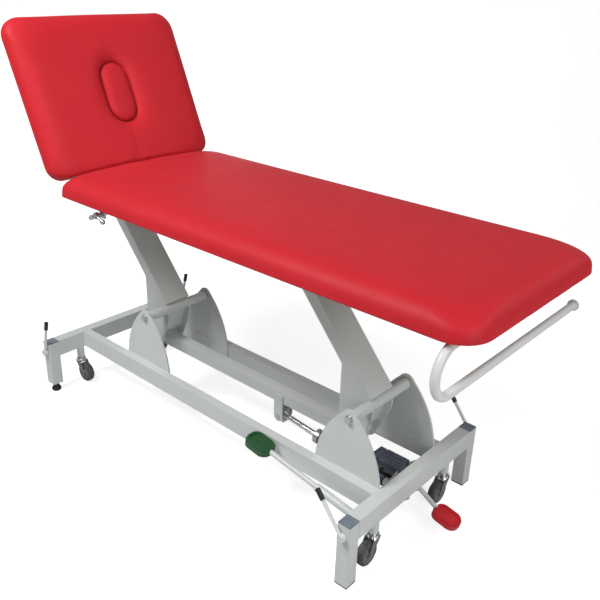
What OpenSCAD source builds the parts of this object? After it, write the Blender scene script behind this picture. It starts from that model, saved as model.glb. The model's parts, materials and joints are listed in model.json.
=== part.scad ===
// Height-adjustable examination couch with a parallelogram lift, foot pump,
// raising backrest, retractable castors and a paper-roll bar.
// Frame of the model: floor at z = 0, +X towards the foot end, -Y is the patient's right
// side, y = 0 is the symmetry plane and x = 0 is the middle of the base.

/* [Base] */
// Length of the base over the legs
base_len = 1440; // [1300:10:1600]
// Width of the base over the legs
base_w = 630; // [600:5:700]
// Height of the base frame
base_h = 205; // [200:5:240]
// Side of the square leg tube
leg_sq = 40; // [35:1:45]
// Height of the cross beams and side rails
beam_h = 60; // [56:1:66]
// Width over the two side rails
rail_track = 336; // [320:2:360]
// Gap below the head-end legs that the levelling feet fill
foot_gap = 33; // [28:1:40]

/* [Lift] */
// Height of the lower pivots
pivot_z = 375; // [365:1:390]
// Position of the head-end pivot along the base
head_pivot_x = -327; // [-340:1:-310]
// Distance between the two lower pivots
pivot_pitch = 892; // [860:1:920]
// Length of the lift arms, pivot to pivot
arm_len = 525; // [500:5:540]
// Lean of the arms from vertical in the modelled pose
arm_lean = 40.9; // [36:0.1:46]
// Width of the arm's box tube
arm_w = 100; // [90:1:104]
// Depth of the arm's box tube
arm_d = 38; // [34:1:44]

/* [Top] */
// Height of the sitting surface in the modelled pose
top_z = 871; // [868:1:874]
// Thickness of the upholstered pads
pad_t = 62; // [56:1:70]
// Width of the upholstered pads
pad_w = 655; // [600:5:700]
// Head edge of the main pad
pad_x0 = -483; // [-487:1:-480]
// Foot edge of the main pad
pad_x1 = 992; // [960:1:1020]
// Corner radius of the main pad at the foot end
foot_r = 85; // [60:1:100]
// Length of the backrest pad
back_len = 518; // [480:1:540]
// Gap between the main pad and the flat backrest
pad_gap = 12; // [12:1:16]
// Angle of the backrest above flat in the modelled pose
back_angle = 65.8; // [50:0.1:70]
// Length of the breathing-hole plug
plug_len = 199; // [160:1:220]
// Width of the breathing-hole plug
plug_w = 103; // [80:1:120]

/* [Castors and levers] */
// Wheel diameter
wheel_d = 75; // [70:1:77]
// Clearance of the retracted wheels above the floor
wheel_lift = 3.5; // [2:0.5:5]
// Travel of a castor when its lever is turned
castor_travel = 8; // [7:0.5:8]
// Turn of the lever that lowers a castor
lever_turn = 100; // [100:1:110]
// Lean of the head-end levers from vertical
head_lever_lean = 15; // [5:1:25]
// Lean of the foot-end levers from vertical
foot_lever_lean = 38; // [25:1:45]

/* [Pedals and paper bar] */
// Height of the pedal shaft
pedal_z = 133; // [132:0.5:134]
// Distance of the pump pedal's arm from the centre plane
pump_arm_y = 205; // [200:1:215]
// Height of the roll-carrying leg of the paper bar
bar_z = 670; // [650:1:700]
// Diameter of the paper bar
bar_d = 22; // [20:1:24]

/* [Hidden] */
$fn = 48;

// Colours
paint = [0.80, 0.82, 0.81];
steel = [0.72, 0.73, 0.75];
black = [0.07, 0.07, 0.08];
grey_blue = [0.42, 0.46, 0.54];
dark_block = [0.24, 0.26, 0.31];
red = [0.76, 0.12, 0.15];
plug_red = [0.72, 0.11, 0.14];
wood = [0.78, 0.62, 0.42];
castor_grey = [0.30, 0.31, 0.33];

// Fits and gauges
run = 0.1;          // added to a bore for a running fit on its pin
wall = 3;           // wall of the leg, beam and arm tubes
plate = 6;          // thickness of the welded plates

// Base
beam_w = 40;
beam_wall = 3.5;
rail_w = 30;
leg_x = base_len / 2 - leg_sq / 2;
leg_y = base_w / 2 - leg_sq / 2;
leg_in = leg_y - leg_sq / 2;            // inner face of the legs
beam_in = leg_x - beam_w / 2;           // inner face of the cross beams
beam_z0 = base_h - beam_h;              // underside of beams and rails
rail_in = rail_track / 2 - rail_w;      // inner face of the side rails
cap_t = 3;
glide_t = 4;

// Fins: an ogive of two arcs with a round nose at the pivot
fin_r = 295;
fin_c = 179;
fin_drop = 200;
fin_nose_r = 28;
fin_nose_z = 19;                        // the arcs stop here, inside the nose
fin_bottom = 220;
fin_y = rail_in - plate;                // inner face of the fins

// Lower pivots
foot_pivot_x = head_pivot_x + pivot_pitch;
shaft_d = 34;
shaft_half = fin_y - 2;
bolt_d = 14;
bush_d = 26;
bush_len = 34;
bush_flange = 1.9;

// Arms
arm_shift = 4.5;                        // centre of the box tube in front of the pivot line
arm_foot = 15;                          // closed lower end of the box tube, above the pivot
arm_cap = 4;
leaf_back = 104;
leaf_kink_z = 101;
leaf_low_z = 95;
link_dx = -62;                          // lower pin from the pivot
link_dz = -142;
link_r = 26;
web_x = -6;                             // cross web between the leaves, below the shaft
web_z = -14;
web_lean = 19;
web_len = 90;
pin_d = 16;
head_d = 34;                            // cross tube at the arm's upper end
head_half = arm_w / 2 + 13;
top_pin_z = pivot_z + arm_len * cos(arm_lean);
top_pin_dx = -arm_len * sin(arm_lean);

// Link bar
bar_sq = 40;
link_z = pivot_z + link_dz;
tab_x = 196;
tab_z = 162;
tab_r = 18;
clevis_d = 12;

// Hydraulic cylinder, along the line from its trunnion to the clevis pin
trun_x = 640;
trun_z = 116;
cyl_pitch = atan2(tab_z - trun_z, trun_x - tab_x);
cyl_reach = sqrt(pow(tab_z - trun_z, 2) + pow(trun_x - tab_x, 2));
cyl_d = 42;
cyl_bore = 34;
cyl_len = 284;
gland_len = 16;
rod_d = 18;
trunnion_d = 16;

// Top frame
under_z = top_z - pad_t;                // underside of the boards
rail2_in = head_half + 1;
rail2_w = 30;
cross_t = 15;
cross_w = 30;
lug_t = 8;
frame_x0 = -720;
frame_x1 = 912;
cross_x = [pad_x0 + 3, 0, 760];         // head-side faces of the cross members
cross_half = 210;
bar_x = 922;
board_t = 12;
board_inset = 7;
screw_d = 6;
screw_bite = 8;
screw_y = 190;
hole_gap = 2;                           // between the plug and the edge of its hole
head_r = 30;

// Backrest hinge, in the gap between the pads
hinge_x = pad_x0 - pad_gap / 2;
hinge_z = top_z - 22;
hinge_y = 150;
hinge_d = 8;
knuckle_r = 7;
edge_r = 22;                            // rounding of the two pad edges that meet at the hinge
notch_y0 = hinge_y - 6;                 // notches in the pads for the hinge plates
notch_y1 = hinge_y + 2 * plate + 8;
back_x1 = pad_x0 - pad_gap;
back_x0 = back_x1 - back_len;
back_rail_y = 145;
back_r = 65;
back_r2 = 50;
plug_x = back_x1 - 250;
back_cross_x = [back_x0 + 20, plug_x - plug_len / 2 - 38];
back_screw_y = 100;

// Gas spring
gas_y = 120;
gas_x = -290;                           // fixed pivot, under the main pad
gas_z = 764;
gas_q = -20;                            // moving pivot from the hinge, towards the head
gas_d = 100;                            // and below it, with the backrest flat
gas_pin = 8;
gas_ux = -gas_q * cos(back_angle) - gas_d * sin(back_angle);
gas_uz = gas_q * sin(back_angle) - gas_d * cos(back_angle);
gas_tip_x = hinge_x + gas_ux;
gas_tip_z = hinge_z + gas_uz;
gas_angle = atan2(gas_tip_z - gas_z, gas_x - gas_tip_x);
gas_reach = sqrt(pow(gas_tip_z - gas_z, 2) + pow(gas_x - gas_tip_x, 2));
gas_tube_d = 22;
gas_tube_len = 158;
gas_rod_d = 8;
gas_rod_s = 139;                        // inner end of the rod along the spring
gas_slot_d = 25;

// Release handle
handle_x = -298;
handle_z = 786;
handle_y = 306;
handle_shaft_d = 10;
cable_d = 5;
cable_x = -352;
cable_y = -111;                         // where the cable meets the release lever
cable_z = 790;
cable_bend = 20;
cable_end_bend = 12;
cable_end_y = gas_y - 15;

// Castors and levers
castor_y = 178;
castor_x = leg_x;
lever_z = 168;
lever_d = 12;
lever_len = 130;
stem_d = 22;
boss_d = 28;
boss_z0 = 98;
cam_r0 = 7;
cam_t = 12;
cam_k = castor_travel / (lever_turn * PI / 180);
stem_top = lever_z - cam_r0;
stem_z0 = 92.5;
ring_z0 = 84;
spigot_d = 10;
trail = 28;
wheel_z = wheel_d / 2 + wheel_lift;
wheel_w = 24;
axle_d = 8;

// Pedals
pedal_x = 665;
pedal_d = 18;
pump_arm_rise = atan(55 / 345);         // slope of the pump arm
pump_rod_d = 16;
pump_pad_s = 376;                       // pad centre along the arm
release_y = 45;
release_drop = 30;                      // slope of the release pedal's rod
release_rod_d = 14;
release_rod = 114;
bracket_r_y = -80;
bracket_l_y = 70;

// ---------- helpers ----------

// Cylinder along Y between two stations
module ycyl(x, z, d, y0, y1) {
    translate([x, y1, z])
        rotate([90, 0, 0])
            cylinder(d = d, h = y1 - y0);
}

// Box between two corners
module box(a, b) {
    translate(a)
        cube(b - a);
}

// Outline in the XZ plane given thickness between two Y stations
module plate_y(y0, y1) {
    translate([0, y1, 0])
        rotate([90, 0, 0])
            linear_extrude(y1 - y0)
                children();
}

// The same feature at +Y and -Y
module both_sides() {
    for (s = [-1, 1])
        scale_y(s)
            children();
}

module scale_y(s) {
    if (s < 0)
        mirror([0, 1, 0]) children();
    else
        children();
}

// Square tube along Z, centred, open at both ends
module post(side, h, t) {
    difference() {
        translate([-side / 2, -side / 2, 0])
            cube([side, side, h]);
        translate([-side / 2 + t, -side / 2 + t, -1])
            cube([side - 2 * t, side - 2 * t, h + 2]);
    }
}

// Rectangle with its own corner radius at each end, in the XY plane
module pad_outline(x0, x1, w, r0, r1) {
    h = w / 2;
    translate([x0 + r0, -h])
        square([x1 - x0 - r0 - r1, w]);
    translate([x0, -h + r0])
        square([r0 + 1, w - 2 * r0]);
    translate([x1 - r1 - 1, -h + r1])
        square([r1 + 1, w - 2 * r1]);
    for (s = [-1, 1]) {
        translate([x0 + r0, s * (h - r0)])
            circle(r = r0, $fn = 64);
        translate([x1 - r1, s * (h - r1)])
            circle(r = r1, $fn = 64);
    }
}

// Stadium: a slot of the given length and width along X
module stadium(len, w) {
    translate([-(len - w) / 2, -w / 2])
        square([len - w, w]);
    for (s = [-1, 1])
        translate([s * (len - w) / 2, 0])
            circle(d = w, $fn = 64);
}

// Bolt along Y with a head at the low-Y end
module ybolt(x, z, d, head, head_t, y0, y1) {
    ycyl(x, z, head, y0, y0 + head_t);
    ycyl(x, z, d, y0 + head_t, y1);
}

// ---------- base ----------

module fin_outline() {
    difference() {
        union() {
            intersection() {
                translate([fin_c * -1, -fin_drop])
                    circle(r = fin_r, $fn = 128);
                translate([fin_c, -fin_drop])
                    circle(r = fin_r, $fn = 128);
                translate([-150, -fin_bottom])
                    square([300, fin_bottom + fin_nose_z]);
            }
            circle(r = fin_nose_r, $fn = 64);
        }
        circle(d = bolt_d);
    }
}

module legs() {
    for (x = [-leg_x, leg_x], y = [-leg_y, leg_y])
        difference() {
            foot = x < 0 ? foot_gap : glide_t;
            translate([x, y, foot])
                post(leg_sq, base_h - cap_t - foot, wall);
            ycyl(x, lever_z, lever_d + run, y - leg_sq, y + leg_sq);
        }
    // threaded end plates of the head legs
    for (y = [-leg_y, leg_y])
        difference() {
            box([-leg_x - 18, y - 18, foot_gap], [-leg_x + 18, y + 18, foot_gap + 12]);
            translate([-leg_x, y, foot_gap - 1])
                cylinder(d = 12 + run, h = 20);
        }
}

module cross_beam(x) {
    difference() {
        box([x - beam_w / 2, -leg_in, beam_z0], [x + beam_w / 2, leg_in, base_h]);
        box([x - beam_w / 2 + beam_wall, -leg_in - 1, beam_z0 + beam_wall],
            [x + beam_w / 2 - beam_wall, leg_in + 1, base_h - beam_wall]);
        for (s = [-1, 1])
            translate([x, s * castor_y, beam_z0 - 1])
                cylinder(d = stem_d + run, h = beam_wall + 2);
    }
    // webs that carry the inner ends of the lever shafts
    both_sides()
        difference() {
            box([x - beam_w / 2 + beam_wall, castor_y - 20, beam_z0 + beam_wall],
                [x + beam_w / 2 - beam_wall, castor_y - 14, base_h - beam_wall]);
            ycyl(x, lever_z, lever_d + run, castor_y - 21, castor_y - 13);
        }
    both_sides()
        translate([x, castor_y, boss_z0])
            difference() {
                cylinder(d = boss_d, h = beam_z0 - boss_z0);
                translate([0, 0, -1])
                    cylinder(d = stem_d + run, h = beam_z0 - boss_z0 + 2);
            }
}

module side_rail() {
    difference() {
        box([-beam_in, rail_in, beam_z0], [beam_in, rail_in + rail_w, base_h]);
        box([-beam_in - 1, rail_in + wall, beam_z0 + wall],
            [beam_in + 1, rail_in + rail_w - wall, base_h - wall]);
    }
}

// Lugs that carry the cylinder's trunnion and the pedal shaft
module pump_lug() {
    plate_y(26, 32)
        difference() {
            polygon([[620, 98], [684, 98], [leg_x + 12, 124], [leg_x + 12, beam_z0],
                [beam_in, beam_z0], [beam_in, 154], [628, 154], [620, 140]]);
            translate([trun_x, trun_z])
                circle(d = trunnion_d + run);
            translate([pedal_x, pedal_z])
                circle(d = pedal_d + run);
        }
}

// Hanging plate that carries the pedal shaft at one more place
module pedal_bracket(y) {
    plate_y(y - 3, y + 3)
        difference() {
            polygon([[648, 116], [690, 116], [leg_x + 12, 132], [leg_x + 12, beam_z0],
                [beam_in, beam_z0], [beam_in, 160], [660, 160], [648, 148]]);
            translate([pedal_x, pedal_z])
                circle(d = pedal_d + run);
        }
}

// Stiffening plate between a side rail and the pump block, higher towards the middle
module stiffener(y_in) {
    translate([beam_in - 25, 0, 0])
        rotate([90, 0, 90])
            linear_extrude(5)
                polygon([[y_in, beam_z0], [rail_in, beam_z0], [rail_in, 150], [y_in, 184]]);
}

module base_frame() {
    color(paint) {
        legs();
        cross_beam(-leg_x);
        cross_beam(leg_x);
        both_sides() {
            side_rail();
            for (x = [head_pivot_x, foot_pivot_x])
                translate([x, 0, pivot_z])
                    plate_y(fin_y, rail_in)
                        fin_outline();
            pump_lug();
        }
        pedal_bracket(bracket_r_y);
        pedal_bracket(bracket_l_y);
        stiffener(45);
        mirror([0, 1, 0])
            stiffener(16);
    }
}

module leg_caps() {
    color(grey_blue)
        for (x = [-leg_x, leg_x], y = [-leg_y, leg_y]) {
            box([x - leg_sq / 2, y - leg_sq / 2, base_h - cap_t],
                [x + leg_sq / 2, y + leg_sq / 2, base_h]);
            box([x - leg_sq / 2 + wall, y - leg_sq / 2 + wall, base_h - 16],
                [x + leg_sq / 2 - wall, y + leg_sq / 2 - wall, base_h - cap_t]);
        }
}

module leg_glides() {
    color(black)
        for (y = [-leg_y, leg_y]) {
            box([leg_x - leg_sq / 2, y - leg_sq / 2, 0],
                [leg_x + leg_sq / 2, y + leg_sq / 2, glide_t]);
            box([leg_x - leg_sq / 2 + wall, y - leg_sq / 2 + wall, glide_t],
                [leg_x + leg_sq / 2 - wall, y + leg_sq / 2 - wall, 24]);
        }
}

// Screwed levelling foot: pad, hexagon and threaded stem
module levelling_foot(s) {
    color(black)
        translate([-leg_x, s * leg_y, 0]) {
            rotate_extrude()
                polygon([[0, 0], [15, 0], [17, 3], [17, 9], [12, 18], [0, 18]]);
            translate([0, 0, 18])
                cylinder(d = 20, h = 9, $fn = 6);
            translate([0, 0, 27])
                cylinder(d = 12, h = 30);
        }
}
module levelling_foot_right() { levelling_foot(-1); }
module levelling_foot_left() { levelling_foot(1); }

module pivot_bolts() {
    color(steel)
        for (x = [head_pivot_x, foot_pivot_x])
            both_sides() {
                ycyl(x, pivot_z, bolt_d, shaft_half - 24, rail_in);
                ycyl(x, pivot_z, 26, rail_in, rail_in + 2);
                ycyl(x, pivot_z, 20, rail_in + 2, rail_in + 10);
            }
}

// ---------- lift ----------

// Side plate of an arm: gusset behind the box tube and leaf down to the link pin.
// Its front edge ends on the pivot shaft, which stands proud of the arm.
module leaf_outline() {
    difference() {
        union() {
            polygon([[-leaf_back, leaf_kink_z], [-leaf_back, -leaf_low_z],
                [link_dx - link_r, link_dz], [link_dx + 24, link_dz - 10],
                [-11, -92], [7, -54], [13, -30], [13, 0], [-4, 26]]);
            translate([link_dx, link_dz])
                circle(r = link_r);
        }
        translate([link_dx, link_dz])
            circle(d = pin_d);
        circle(d = shaft_d - 4);
    }
}

module arm(px) {
    color(paint)
        translate([px, 0, pivot_z])
            difference() {
                union() {
                    rotate([0, -arm_lean, 0])
                        translate([arm_shift, 0, 0])
                            difference() {
                                box([-arm_d / 2, -arm_w / 2, arm_foot],
                                    [arm_d / 2, arm_w / 2, arm_len - 6]);
                                box([-arm_d / 2 + wall, -arm_w / 2 + wall, arm_foot + arm_cap],
                                    [arm_d / 2 - wall, arm_w / 2 - wall, arm_len + 1]);
                            }
                    both_sides()
                        plate_y(arm_w / 2 - plate, arm_w / 2)
                            leaf_outline();
                    translate([web_x, 0, web_z])
                        rotate([0, web_lean, 0])
                            box([-2, 2 - arm_w / 2, -web_len], [2, arm_w / 2 - 2, 0]);
                    ycyl(0, 0, shaft_d, -shaft_half, shaft_half);
                    ycyl(top_pin_dx, top_pin_z - pivot_z, head_d, -head_half, head_half);
                }
                ycyl(0, 0, bush_d, -shaft_half - 1, shaft_half + 1);
                ycyl(top_pin_dx, top_pin_z - pivot_z, pin_d + run, -head_half - 1, head_half + 1);
            }
}
module head_arm() { arm(head_pivot_x); }
module foot_arm() { arm(foot_pivot_x); }

// Flanged bearing bushes in the ends of a pivot shaft
module bushes(px) {
    color([0.16, 0.16, 0.17])
        translate([px, 0, pivot_z])
            both_sides()
                difference() {
                    union() {
                        ycyl(0, 0, bush_d, shaft_half - bush_len, shaft_half);
                        ycyl(0, 0, shaft_d - 2, shaft_half, shaft_half + bush_flange);
                    }
                    ycyl(0, 0, bolt_d + run, shaft_half - bush_len - 1, shaft_half + bush_flange + 1);
                }
}
module head_arm_bushes() { bushes(head_pivot_x); }
module foot_arm_bushes() { bushes(foot_pivot_x); }

// Link pin pressed into the two leaves, with dark end caps
module link_pin(px) {
    color(black)
        translate([px + link_dx, 0, link_z]) {
            ycyl(0, 0, pin_d, -arm_w / 2, arm_w / 2);
            both_sides() {
                ycyl(0, 0, 28, arm_w / 2, arm_w / 2 + 4);
                ycyl(0, 0, 20, arm_w / 2 + 4, arm_w / 2 + 11);
            }
        }
}
module head_link_pin() { link_pin(head_pivot_x); }
module foot_link_pin() { link_pin(foot_pivot_x); }

module link_bar() {
    bush_half = arm_w / 2 - plate - 0.3;
    color(paint)
        difference() {
            union() {
                difference() {
                    box([head_pivot_x + link_dx - 20, -bar_sq / 2, link_z - bar_sq / 2],
                        [foot_pivot_x + link_dx + 20, bar_sq / 2, link_z + bar_sq / 2]);
                    box([head_pivot_x + link_dx - 16, -bar_sq / 2 + wall, link_z - bar_sq / 2 + wall],
                        [foot_pivot_x + link_dx + 16, bar_sq / 2 - wall, link_z + bar_sq / 2 - wall]);
                }
                for (px = [head_pivot_x, foot_pivot_x])
                    ycyl(px + link_dx, link_z, 26, -bush_half, bush_half);
                both_sides()
                    plate_y(bar_sq / 2, bar_sq / 2 + 5) {
                        translate([tab_x - tab_r, tab_z])
                            square([2 * tab_r, link_z + 10 - tab_z]);
                        translate([tab_x, tab_z])
                            circle(r = tab_r);
                    }
            }
            for (px = [head_pivot_x, foot_pivot_x])
                ycyl(px + link_dx, link_z, pin_d + run, -50, 50);
            ycyl(tab_x, tab_z, clevis_d, -50, 50);
        }
}

module clevis_pin() {
    color(steel)
        translate([tab_x, 0, tab_z]) {
            ycyl(0, 0, clevis_d, -bar_sq / 2 - 9, bar_sq / 2 + 9);
            ycyl(0, 0, 17, -bar_sq / 2 - 8, -bar_sq / 2 - 5);
            ycyl(0, 0, 17, bar_sq / 2 + 5, bar_sq / 2 + 8);
        }
}

// Places a shape built along +X onto the cylinder's line, from its trunnion to the clevis
module on_cylinder() {
    translate([trun_x, 0, trun_z])
        rotate([0, 180 + cyl_pitch, 0])
            children();
}

module xcyl(d, x0, x1) {
    translate([x0, 0, 0])
        rotate([0, 90, 0])
            cylinder(d = d, h = x1 - x0);
}

module pump_cylinder() {
    color(grey_blue)
        on_cylinder()
            difference() {
                union() {
                    xcyl(cyl_d, 14, cyl_len);
                    box([0, -12, -12], [20, 12, 12]);
                    ycyl(0, 0, 24, -25.5, 25.5);
                    ycyl(0, 0, trunnion_d, -34, 34);
                    translate([36, 0, 0])
                        ycyl(0, 0, 13, -30.6, -10);
                }
                xcyl(cyl_bore, 40, cyl_len + 1);
            }
}

module pump_gland() {
    color(steel)
        on_cylinder()
            difference() {
                union() {
                    xcyl(cyl_d + 4, cyl_len, cyl_len + gland_len);
                    xcyl(cyl_bore, cyl_len - 18, cyl_len);
                }
                xcyl(rod_d + run, cyl_len - 20, cyl_len + gland_len + 1);
            }
}

// Chromed rod with its piston head and slotted eye
module piston_rod() {
    slot_half = 9;
    eye_half = slot_half + clevis_d / 2 + 8;
    color([0.85, 0.86, 0.88])
        on_cylinder()
            difference() {
                union() {
                    xcyl(rod_d, 205, cyl_reach - 15);
                    xcyl(cyl_bore - run, 200, 216);
                    box([cyl_reach - 15, -14, -eye_half], [cyl_reach + 15, 14, eye_half]);
                }
                ycyl(cyl_reach, slot_half, clevis_d + 4, -20, 20);
                ycyl(cyl_reach, -slot_half, clevis_d + 4, -20, 20);
                box([cyl_reach - clevis_d / 2 - 2, -20, -slot_half],
                    [cyl_reach + clevis_d / 2 + 2, 20, slot_half]);
            }
}

// Valve block and reservoir of the foot pump
module pump_block() {
    color(dark_block)
        difference() {
            union() {
                box([556, -14, 156], [655, 44, 172]);
                box([564, -6, 172], [655, 38, 186]);
                box([556, -14, 172], [578, 44, 190]);
                box([655, -14, 118], [beam_in, 24, 186]);
                translate([0, 50, 0])
                    box([572, -6, 156], [648, 10, 178]);
                for (x = [590, 612, 634])
                    translate([x, 16, 186])
                        cylinder(d = 9, h = 3);
            }
            ycyl(pedal_x, pedal_z, pedal_d + run, -20, 30);
            for (y = [2, 16, 30])
                box([582, y - 1.5, 183], [651, y + 1.5, 187]);
        }
}

// Hydraulic hose: out of the valve block's side, down, and back in to the cylinder's tail
module pump_hose() {
    hose_x = 604;
    hose_d = 9;
    bend = 13;
    out_y = -38;
    out_z = 165;
    in_z = 119;
    color(black) {
        ycyl(hose_x, out_z, hose_d, out_y, -14);
        translate([hose_x, out_y, out_z - bend])
            quarter_hose(bend, hose_d);
        translate([hose_x, out_y - bend, in_z + bend])
            cylinder(d = hose_d, h = out_z - in_z - 2 * bend);
        translate([hose_x, out_y, in_z + bend])
            mirror([0, 0, 1])
                quarter_hose(bend, hose_d);
        ycyl(hose_x, in_z, hose_d, out_y, -31);
    }
}

// Quarter bend in the YZ plane around the origin, from -Y up to +Z
module quarter_hose(bend, d) {
    rotate([90, 0, -90])
        rotate_extrude(angle = 90)
            translate([bend, 0])
                circle(d = d, $fn = 24);
}

// ---------- pedals ----------

// Places a shape built along +X onto the line of the pump arm
module on_pump_arm() {
    translate([pedal_x, -pump_arm_y, pedal_z + 3])
        rotate([0, 180 + pump_arm_rise, 0])
            children();
}

// Cross shaft with the long pump arm at its near end
module pump_pedal() {
    tube = 150;
    color(paint) {
        ycyl(pedal_x, pedal_z, pedal_d, -pump_arm_y - 10, bracket_l_y + 8);
        ycyl(pedal_x, pedal_z, 26, -pump_arm_y - 13, -pump_arm_y + 13);
        on_pump_arm() {
            xcyl(24, -4, tube);
            xcyl(pump_rod_d, tube - 10, pump_pad_s - 28);
        }
    }
}

// Oval foot pad with a dished top
module pedal_pad_body(len, w, t) {
    difference() {
        union() {
            translate([0, 0, -t / 2])
                linear_extrude(t * 0.7)
                    pad_outline(-len / 2, len / 2, w, w * 0.42, w * 0.42);
            translate([0, 0, t * 0.2])
                linear_extrude(t * 0.3)
                    pad_outline(-len / 2 + 3, len / 2 - 3, w - 6, w * 0.42 - 3, w * 0.42 - 3);
        }
        translate([0, 0, t * 0.34])
            linear_extrude(t)
                pad_outline(-len / 2 + 10, len / 2 - 10, w - 20, w * 0.42 - 10, w * 0.42 - 10);
    }
}

module pump_pedal_pad() {
    color([0.10, 0.30, 0.15])
        on_pump_arm()
            difference() {
                translate([pump_pad_s, 0, 0])
                    rotate([180, 0, 0])
                        pedal_pad_body(92, 64, 24);
                xcyl(pump_rod_d, pump_pad_s - 56, pump_pad_s - 28);
            }
}

module release_pedal() {
    color(paint)
        difference() {
            union() {
                ycyl(pedal_x, pedal_z, 26, release_y - 11, release_y + 11);
                translate([pedal_x, release_y, pedal_z])
                    rotate([0, release_drop, 0])
                        xcyl(release_rod_d, 8, release_rod);
            }
            ycyl(pedal_x, pedal_z, pedal_d + run, release_y - 12, release_y + 12);
        }
}

module release_pedal_pad() {
    color([0.70, 0.10, 0.13])
        difference() {
            translate([pedal_x + 132, release_y, pedal_z - 68])
                rotate([0, 12, 0])
                    pedal_pad_body(84, 60, 22);
            translate([pedal_x, release_y, pedal_z])
                rotate([0, release_drop, 0])
                    xcyl(release_rod_d, 80, release_rod);
        }
}

// ---------- top ----------

// Bracket plate of the backrest hinge, standing in the gap between the pads
module hinge_plate_outline() {
    difference() {
        union() {
            polygon([[40, under_z - cross_t - hinge_z], [-5, under_z - cross_t - hinge_z], [-5, 0],
                [5, 0], [5, under_z - hinge_z - 0.5], [40, under_z - hinge_z - 0.5]]);
            circle(r = knuckle_r);
        }
        circle(d = hinge_d);
    }
}

module top_frame() {
    color(paint)
        difference() {
            union() {
                both_sides() {
                    box([frame_x0, rail2_in, under_z - rail2_w], [frame_x1, rail2_in + rail2_w, under_z]);
                    // lugs on the upper pins
                    for (px = [head_pivot_x, foot_pivot_x])
                        plate_y(rail2_in, rail2_in + lug_t) {
                            translate([px + top_pin_dx, top_pin_z])
                                circle(r = 18);
                            translate([px + top_pin_dx - 18, top_pin_z])
                                square([36, under_z - 5 - top_pin_z]);
                        }
                    translate([hinge_x, 0, hinge_z])
                        plate_y(hinge_y, hinge_y + plate)
                            hinge_plate_outline();
                }
                for (x = cross_x)
                    box([x, -cross_half, under_z - cross_t], [x + cross_w, cross_half, under_z]);
                box([frame_x0, -rail2_in, under_z - rail2_w], [frame_x0 + 18, rail2_in, under_z]);
                // socket of the paper bar
                ycyl(bar_x, paper_top_z(), bar_d + 8, -200, rail2_in + rail2_w);
                // arm and lugs of the gas spring
                box([gas_x - 12, rail2_in, under_z - 6], [gas_x + 12, gas_y + 24, under_z]);
                for (y = [gas_y - 18, gas_y + 12])
                    plate_y(y, y + plate)
                        gas_lug_outline();
                // bearing plates of the release handle's shaft
                for (y = [-290, -120])
                    box([handle_x - 12, y - 3, handle_z - 12], [handle_x + 12, y + 3, under_z]);
                box([handle_x - 12, -300, under_z - 6], [handle_x + 12, -rail2_in, under_z]);
            }
            both_sides()
                box([frame_x0 + 2, rail2_in + 2.5, under_z - rail2_w + 2.5],
                    [frame_x1 - 30, rail2_in + rail2_w - 2.5, under_z - 2.5]);
            for (px = [head_pivot_x, foot_pivot_x])
                ycyl(px + top_pin_dx, top_pin_z, pin_d, -rail2_in - 20, rail2_in + 20);
            ycyl(bar_x, paper_top_z(), bar_d, -201, 0);
            ycyl(gas_x, gas_z, gas_pin, gas_y - 20, gas_y + 20);
            ycyl(handle_x, handle_z, handle_shaft_d + run, -300, -100);
            ycyl(cable_x, cable_z, cable_d + 0.6, -rail2_in - rail2_w - 1, rail2_in + rail2_w + 1);
            for (x = cross_x, s = [-1, 1])
                translate([x + cross_w / 2, s * screw_y, under_z - cross_t - 1])
                    cylinder(d = screw_d, h = cross_t + 2);
        }
}

function paper_top_z() = under_z - bar_d / 2 - 5;

module gas_lug_outline() {
    translate([gas_x, gas_z])
        circle(r = 12);
    translate([gas_x - 9, gas_z])
        square([18, under_z - 4 - gas_z]);
}

// Upper lift pins with their heads
module top_pins() {
    color(steel)
        for (px = [head_pivot_x, foot_pivot_x])
            translate([px + top_pin_dx, 0, top_pin_z]) {
                ycyl(0, 0, pin_d, -rail2_in - lug_t, rail2_in + lug_t);
                both_sides()
                    ycyl(0, 0, 12, rail2_in + lug_t, rail2_in + lug_t + 3);
            }
}

module main_board() {
    color(wood)
        difference() {
            translate([0, 0, under_z])
                linear_extrude(board_t)
                    pad_outline(pad_x0 + board_inset, pad_x1 - board_inset,
                        pad_w - 2 * board_inset, head_r - 6, foot_r - 6);
            for (x = cross_x, s = [-1, 1])
                translate([x + cross_w / 2, s * screw_y, under_z - 1])
                    cylinder(d = screw_d, h = screw_bite + 1);
        }
}

// Corner left over outside a rounded edge that runs along Y; the pad lies towards -X of it
module edge_waste(x) {
    translate([x - edge_r, 0, top_z - edge_r])
        plate_y(-pad_w, pad_w)
            difference() {
                square(edge_r + 5);
                circle(r = edge_r, $fn = 64);
            }
}

module main_pad() {
    color(red)
        difference() {
            translate([0, 0, under_z])
                linear_extrude(pad_t)
                    pad_outline(pad_x0, pad_x1, pad_w, head_r, foot_r);
            translate([2 * pad_x0, 0, 0])
                mirror([1, 0, 0])
                    edge_waste(pad_x0);
            translate([0, 0, under_z - 1])
                linear_extrude(board_t + 1)
                    pad_outline(pad_x0 + board_inset, pad_x1 - board_inset,
                        pad_w - 2 * board_inset, head_r - 6, foot_r - 6);
            both_sides()
                box([pad_x0 - 1, notch_y0, under_z - 1],
                    [pad_x0 + 3, notch_y1, hinge_z + knuckle_r + 3]);
        }
}

// Wood screw up through a cross member, from its underside
module screw() {
    translate([0, 0, -3])
        cylinder(d = 2 * screw_d, h = 3);
    cylinder(d = screw_d, h = cross_t + screw_bite);
}

module board_screws() {
    color(steel)
        for (x = cross_x, s = [-1, 1])
            translate([x + cross_w / 2, s * screw_y, under_z - cross_t])
                screw();
}

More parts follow.
